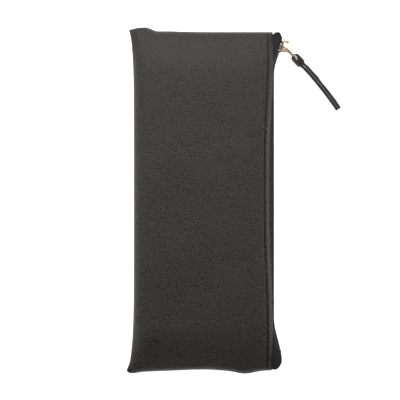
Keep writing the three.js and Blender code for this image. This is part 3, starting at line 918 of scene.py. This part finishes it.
for suffix, low, high, start in (
    ("lower", -HALF_LENGTH, 0, BLEND_LOW),
    ("upper", 0, HALF_LENGTH, BLEND_HIGH),
):
    stitches = join_lofts(f"front_stitches_{suffix}", stitch_runs(1, FRONT_RISE, low, high), black_thread)
    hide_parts("front_topstitch")
    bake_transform(stitches)
back_stitches = join_lofts(
    "back_stitches", stitch_runs(-1, BACK_RISE, -HALF_LENGTH, HALF_LENGTH), black_thread
)
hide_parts("back_topstitch")
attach(back_stitches, "back")

# ---- metal parts ----

FLAT_ANGLE = math.radians(1)        # faces that meet at less are one flat face
SHARP_ANGLE = math.radians(18)      # edges over this are rounded
SHADED_ANGLE = math.radians(40)     # edges over this after that keep a crease


def polished(name, node, width, material, body, segments=3, tilt=0.0, along_zip=False):
    """The CAD piece with its flat faces merged and its edges rounded. It leans in plan about the ring's
    near bar, as the slider does, or moves over to where the sewn zip lies."""
    mesh = frame["nodes"][node].data.copy()
    about = Matrix.Translation(Vector(RING_PIVOT) * MM)
    mesh.transform(about @ Matrix.Rotation(-tilt, 4, "Z") @ about.inverted())
    if along_zip:
        lo, hi = node_box(node)
        mesh.transform(Matrix.Translation(Vector((-bow((lo[1] + hi[1]) / 2) * MM, 0, 0))))
    work = bmesh.new()
    work.from_mesh(mesh)
    bmesh.ops.remove_doubles(work, verts=work.verts, dist=0.001 * MM)
    bmesh.ops.dissolve_limit(work, angle_limit=FLAT_ANGLE, verts=work.verts, edges=work.edges)
    sharp = [e for e in work.edges if e.is_manifold and e.calc_face_angle(0) > SHARP_ANGLE]
    bmesh.ops.bevel(
        work, geom=sharp, offset=width * MM, segments=segments, profile=0.5,
        affect="EDGES", clamp_overlap=True,
    )
    bmesh.ops.recalc_face_normals(work, faces=work.faces)
    work.to_mesh(mesh)
    work.free()
    mesh.name = name
    mesh.materials.clear()
    mesh.materials.append(material)
    mesh.polygons.foreach_set("use_smooth", [True] * len(mesh.polygons))
    mesh.set_sharp_from_angle(angle=SHADED_ANGLE)
    piece = bpy.data.objects.new(name, mesh)
    bpy.context.scene.collection.objects.link(piece)
    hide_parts(node)
    if body == "front":
        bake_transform(piece)
    else:
        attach(piece, body)
    return piece


BRIDGE_HALF = 0.84       # half the width of the bridge's band in plan


def bridge_arch():
    """The rounded band over the slider that holds the ring, leaning with the slider."""
    foot = cap_lo[0] - 0.3
    out = cap_hi[0] - BRIDGE_HALF
    low = cap_lo[1] + BRIDGE_HALF
    high = cap_hi[1] - BRIDGE_HALF
    middle = (low + high) / 2
    plan = round_corners([(foot, low), (out, low), (out, middle), (out, high), (foot, high)], steps=7)
    path = np.column_stack([plan, np.full(len(plan), SEAM_Z)])
    rings = np.array(tube(path, BRIDGE_HALF, 14))
    stretch = (cap_hi[2] - cap_lo[2]) / 2 / BRIDGE_HALF
    rings[:, :, 2] = SEAM_Z + (rings[:, :, 2] - SEAM_Z) * stretch
    run, rise = math.cos(SLIDER_TILT), math.sin(SLIDER_TILT)
    turn = np.array([[run, rise], [-rise, run]])
    rings[:, :, :2] = RING_PIVOT[:2] + (rings[:, :, :2] - RING_PIVOT[:2]) @ turn.T
    return loft_object("slider_bridge", rings, gold, crease=50)


polished("slider_shell", "slider_body", 0.22, gold, "slider", tilt=SLIDER_TILT)
bridge = bridge_arch()
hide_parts("slider_cap")
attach(bridge, "slider")
polished("slider_lock_leaf", "lock_spring", 0.06, steel, "slider", 2, tilt=SLIDER_TILT)
polished("front_stop_clip", "front_top_stop", 0.16, enamel, "front", along_zip=True)
polished("back_stop_clip", "back_top_stop", 0.16, enamel, "back", along_zip=True)
polished("bottom_stop_clip", "bottom_stop", 0.16, enamel, "back", along_zip=True)

# ---- pull ring and strap ----

RING_RUN = (RING_BAR - RING_PIVOT) / np.linalg.norm(RING_BAR - RING_PIVOT)
RING_LENGTH = np.linalg.norm(RING_BAR - RING_PIVOT)
RING_SIDE = np.cross(UP, RING_RUN) / np.linalg.norm(np.cross(UP, RING_RUN))
RING_ACROSS = np.cross(RING_RUN, RING_SIDE)
RING_CORNER = 1.0
RING_ROLL = math.radians(-0.5)
WIRE = 0.55             # radius of the ring's wire
RING_INSET = 0.45       # how much narrower than in the frame the bent loop is, on each side
RING_HALF = (ring_hi[2] - ring_lo[2]) / 2 - WIRE - RING_INSET


def ring_loop():
    """A wire loop with rounded corners, rolled a little about its length."""
    far = RING_LENGTH - RING_CORNER
    wide = RING_HALF - RING_CORNER
    narrow = RING_CORNER - RING_HALF
    corners = ((far, wide), (RING_CORNER, wide), (RING_CORNER, narrow), (far, narrow))
    flat = []
    for quarter, (along, across) in enumerate(corners):
        for i in range(9):
            angle = (quarter + i / 8) * math.pi / 2
            flat.append((along + RING_CORNER * math.cos(angle), across + RING_CORNER * math.sin(angle)))
    dense = []
    for (a, b), (c, d) in zip(flat, flat[1:] + flat[:1]):
        pieces = max(1, int(math.hypot(c - a, d - b) / 0.6))
        dense.extend((a + (c - a) * k / pieces, b + (d - b) * k / pieces) for k in range(pieces))
    rolled = math.cos(RING_ROLL) * RING_ACROSS - math.sin(RING_ROLL) * -RING_SIDE
    path = [RING_PIVOT + RING_RUN * along + across * rolled for along, across in dense]
    return loft_object("pull_ring_wire", tube(path, WIRE, 14, closed=True), gold, closed=True)


wire_ring = ring_loop()
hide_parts("pull_ring")
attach(wire_ring, "ring")

STRAP_LENGTH = 38.8
STRAP_HEAD = 5.2        # length of the doubled head
STRAP_HEIGHT = 4.4      # width of the strip, which stands on its edge
OUTER_PLY = 1.5         # thickness of the outer tail, which is on the right in the photographed pose
INNER_PLY = OUTER_PLY + 0.15
OUTER_LEAN = 1.05       # how far the outer tail spreads out at its lower edge
INNER_LEAN = -0.85      # the inner tail leans the same way, which nearly closes the gap below
SWELLS = ((0.22, 16, 2.0), (-0.16, 21, 2.4), (0.18, 33, 1.8))   # of the outer tail: depth, place, length
HEAD_HALF = 2.5         # half width in plan of the doubled head
LOOP_ROOM = 0.65        # wire radius and its play
LOOP_CLOSED = 2.2       # distance from the bar at which the tails meet
TAIL_GAP = 0.08         # half the gap between the tails
GROUND_GAP = 0.05       # left under the tail end
STRAP_HEADING = -45     # degrees in plan, at the ring
STRAP_SWAY = 5.2        # degrees the tail end is swung round from there
STRAP_CURL = 11         # degrees the strip's own run has turned there


def strap_centre(distance):
    """Middle line in plan, from the ring's far bar to the tail end, as (point, run, left)."""
    share = distance / STRAP_LENGTH
    turn = math.radians(STRAP_HEADING - STRAP_SWAY * share)
    point = RING_BAR[:2] + distance * np.array([math.cos(turn), math.sin(turn)])
    heading = math.radians(STRAP_HEADING - STRAP_CURL * share)
    run = np.array([math.cos(heading), math.sin(heading)])
    return point, run, np.array([-run[1], run[0]])


def strap_ply():
    """Stations along the folded strip, from one tail's end round the ring's bar to the other's:
    (centre in plan, normal in plan, half thickness, distance, lean)."""
    stations = []

    def tail(sign, distances):
        for distance in distances:
            point, _, left = strap_centre(distance)
            closed = smooth(distance / LOOP_CLOSED)
            inner = LOOP_ROOM * (1 - closed) + TAIL_GAP * closed
            head = 1 - smooth((distance - STRAP_HEAD + 0.3) / 0.4)
            ply = OUTER_PLY if sign > 0 else INNER_PLY
            thick = ply * (1 - head) + (HEAD_HALF - inner) * head
            if sign > 0:
                swells = (depth * bump_at(distance, place, length) for depth, place, length in SWELLS)
                thick = thick + sum(swells)
            lean = (OUTER_LEAN if sign > 0 else INNER_LEAN) * smooth((distance - STRAP_HEAD + 1) / 4)
            centre = point + left * sign * (inner + thick / 2)
            stations.append((centre, left * sign, thick / 2, distance, lean))

    spread = np.concatenate([
        np.linspace(STRAP_LENGTH, STRAP_HEAD + 0.8, 34),
        STRAP_HEAD + np.linspace(0.6, -0.8, 8),
        np.linspace(STRAP_HEAD - 1.4, 0.1, 9),
    ])
    tail(1, spread)
    point, run, left = strap_centre(0)
    thick = HEAD_HALF - LOOP_ROOM
    for angle in np.linspace(0, math.pi, 13)[1:-1]:
        out = math.cos(angle) * left - math.sin(angle) * run
        stations.append((point + out * (LOOP_ROOM + thick / 2), out, thick / 2, 0.0, 0.0))
    tail(-1, spread[::-1])
    return stations


def strap_rings():
    """Rounded rectangle round each station: cut and painted edges at the top and bottom."""
    rings = []
    fall = RING_BAR[2] - STRAP_HEIGHT / 2 - GROUND_GAP
    corner_angles = np.linspace(0, math.pi / 2, 5)
    for point, out, half, distance, lean in strap_ply():
        corner = min(half * 0.62, 0.5)
        low = -fall * min(distance / STRAP_LENGTH, 1.0)
        outline = []
        for quarter, (sx, sz) in enumerate(((1, 1), (-1, 1), (-1, -1), (1, -1))):
            for a in corner_angles:
                angle = quarter * math.pi / 2 + a
                outline.append((
                    sx * (half - corner) + corner * math.cos(angle),
                    sz * (STRAP_HEIGHT / 2 - corner) + corner * math.sin(angle),
                ))
        # the ply's top edge stays in place and its lower edge moves by the lean
        leaned = [(across + lean * (0.5 - lift / STRAP_HEIGHT), lift) for across, lift in outline]
        rings.append([
            (point[0] + out[0] * across, point[1] + out[1] * across, RING_BAR[2] + low + lift)
            for across, lift in leaned
        ])
    return np.array(rings)


strap = loft_object("pull_strap_leather", strap_rings(), strap_leather, crease=50)
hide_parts("pull_strap")
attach(strap, "strap")

# ---- hidden seam threads keep their CAD shape ----

for node in ("top_end_seam_thread", "bottom_end_seam_thread", "long_seam_thread"):
    thread = frame["nodes"][node]
    thread.data.materials.clear()
    thread.data.materials.append(black_thread)
